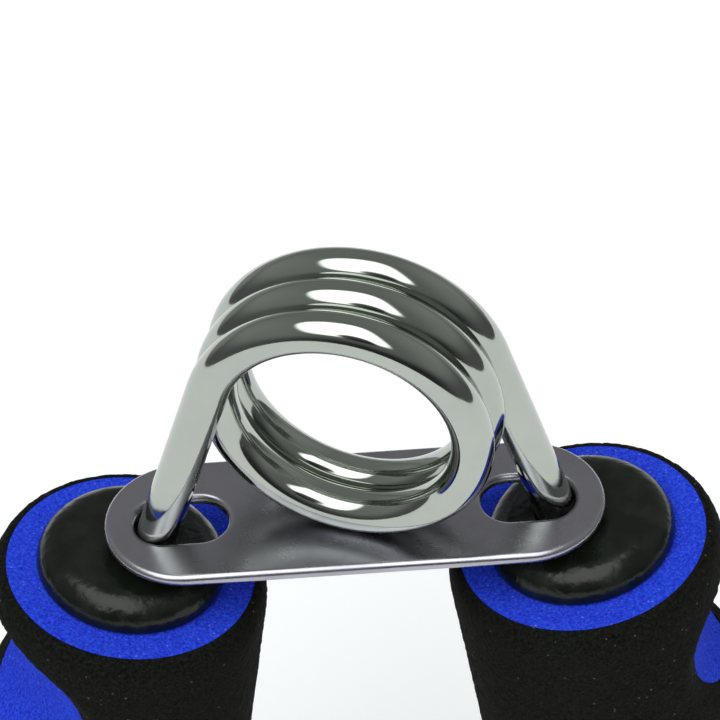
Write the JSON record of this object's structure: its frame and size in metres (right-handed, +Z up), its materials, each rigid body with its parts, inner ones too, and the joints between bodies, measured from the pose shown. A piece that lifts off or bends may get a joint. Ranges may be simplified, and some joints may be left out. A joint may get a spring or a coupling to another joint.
{
  "type": "hand grip strengthener",
  "caption": "Hand grip strengthener: coiled wire spring, slotted spreader plate, and foam handles with finger grooves that squeeze together.",
  "frame": {"origin": "the point midway between the handles at the level of the bottom caps' lowest edges, which is the bottom centre of the bounding box", "axes": "+X from the left handle to the right handle, +Z up from the bottom caps to the spring coil, +Y through the coil's eye towards the back"},
  "size_m": [0.1086, 0.0318, 0.1419],
  "materials": {
    "spring_wire": "bright chrome plating on drawn spring wire",
    "plate_steel": "satin nickel plating on pressed steel",
    "cap_plastic": "dark moulded plastic with a fine pebbled skin and a soft gloss",
    "core_plastic": "plain moulded plastic",
    "blue_foam": "fine closed-cell foam, matt, bright blue",
    "black_foam": "fine closed-cell foam, matt, black"
  },
  "bodies": {
    "spring_head": {"spring_coil": "spring_wire", "spreader_plate": "plate_steel"},
    "left_handle": {"left_spring_leg": "spring_wire", "left_top_cap": "cap_plastic", "left_core": "core_plastic", "left_inner_foam": "blue_foam", "left_outer_foam": "black_foam", "left_bottom_cap": "cap_plastic"},
    "right_handle": {"right_spring_leg": "spring_wire", "right_top_cap": "cap_plastic", "right_core": "core_plastic", "right_inner_foam": "blue_foam", "right_outer_foam": "black_foam", "right_bottom_cap": "cap_plastic"}
  },
  "joints": [
    {"name": "left_squeeze", "type": "hinge", "parent": "spring_head", "child": "left_handle", "pos_m": [0, 0, 0.12446], "axis": [0, -1, 0], "range_deg": [0, 10.5], "stiffness_Nm_per_rad": 40, "springref_deg": -2.29},
    {"name": "right_squeeze", "type": "hinge", "parent": "spring_head", "child": "right_handle", "pos_m": [0, 0, 0.12446], "axis": [0, 1, 0], "range_deg": [0, 10.5], "stiffness_Nm_per_rad": 40, "springref_deg": -2.29}
  ],
  "couplings": [
    {"joint": "right_squeeze", "follows": "left_squeeze", "ratio": 1}
  ]
}
